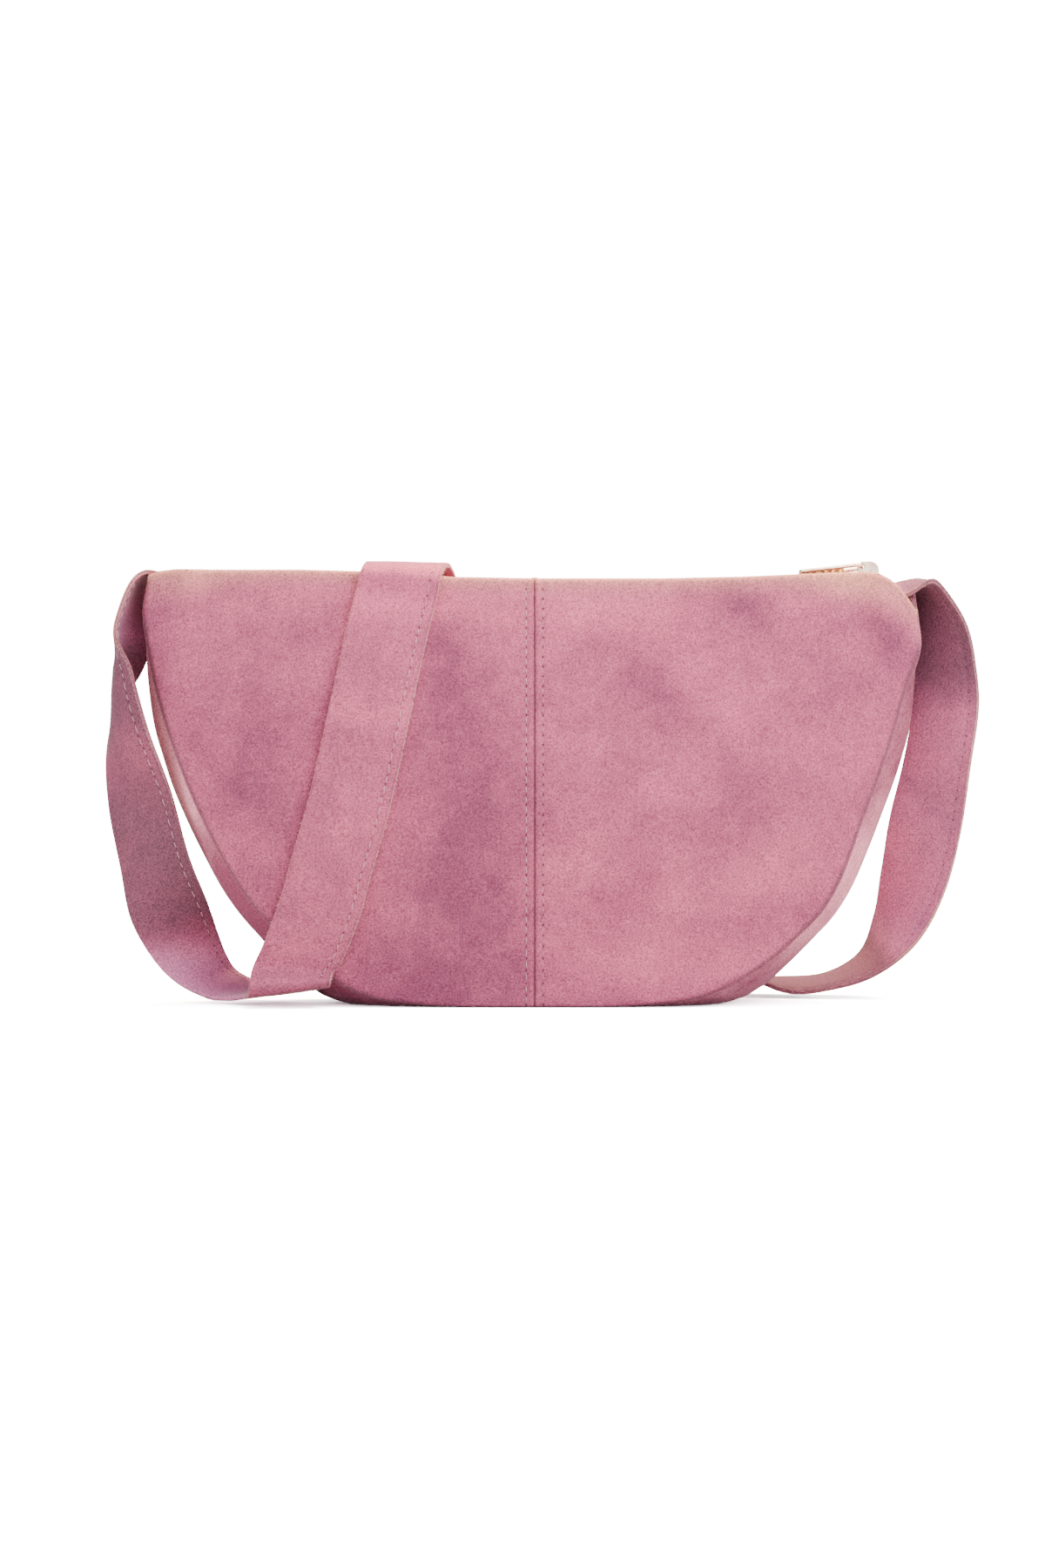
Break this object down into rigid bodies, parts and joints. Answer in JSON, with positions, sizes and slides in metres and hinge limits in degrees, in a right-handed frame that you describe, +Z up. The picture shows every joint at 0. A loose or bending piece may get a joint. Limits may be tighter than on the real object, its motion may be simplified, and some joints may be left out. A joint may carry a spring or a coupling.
{
  "type": "shoulder bag",
  "caption": "Half-moon suede shoulder bag with a curved gusset, a top zip with a sliding puller, and a wide strap draped over it.",
  "frame": {"origin": "on the ground, at the middle of the gusset's flat base", "axes": "+Z up, +X along the mouth towards the zip's closed end, +Y from the front panel to the back panel"},
  "size_m": [0.4162, 0.1176, 0.2121],
  "materials": {
    "suede_panel": "matt brushed nap, dusty pink",
    "suede_gusset": "matt brushed nap, dusty pink",
    "suede_strap": "matt brushed nap, dusty pink",
    "lining": "plain woven cotton",
    "zip_tape": "woven tape",
    "zip_teeth": "satin pale gold",
    "gold_metal": "polished pale gold"
  },
  "bodies": {
    "bag": {"front_panel_left": "suede_panel", "front_panel_right": "suede_panel", "back_panel_left": "suede_panel", "back_panel_right": "suede_panel", "gusset": "suede_gusset", "strap": "suede_strap", "lining_front": "lining", "lining_back": "lining", "lining_gusset": "lining", "zip_tape_front": "zip_tape", "zip_tape_back": "zip_tape", "zip_teeth_front": "zip_teeth", "zip_teeth_back": "zip_teeth", "zip_top_stop_front": "zip_teeth", "zip_top_stop_back": "zip_teeth", "zip_bottom_stop": "zip_teeth"},
    "slider": {"zip_slider": "gold_metal"},
    "pull": {"zip_pull": "gold_metal"}
  },
  "joints": [
    {"name": "zip_slide", "type": "slide", "parent": "bag", "child": "slider", "axis": [-1, 0, 0], "range_m": [0, 0.155]},
    {"name": "pull_hinge", "type": "hinge", "parent": "slider", "child": "pull", "pos_m": [0.1575, 0, 0.2095], "axis": [0, 1, 0], "range_deg": [0, 160]}
  ]
}
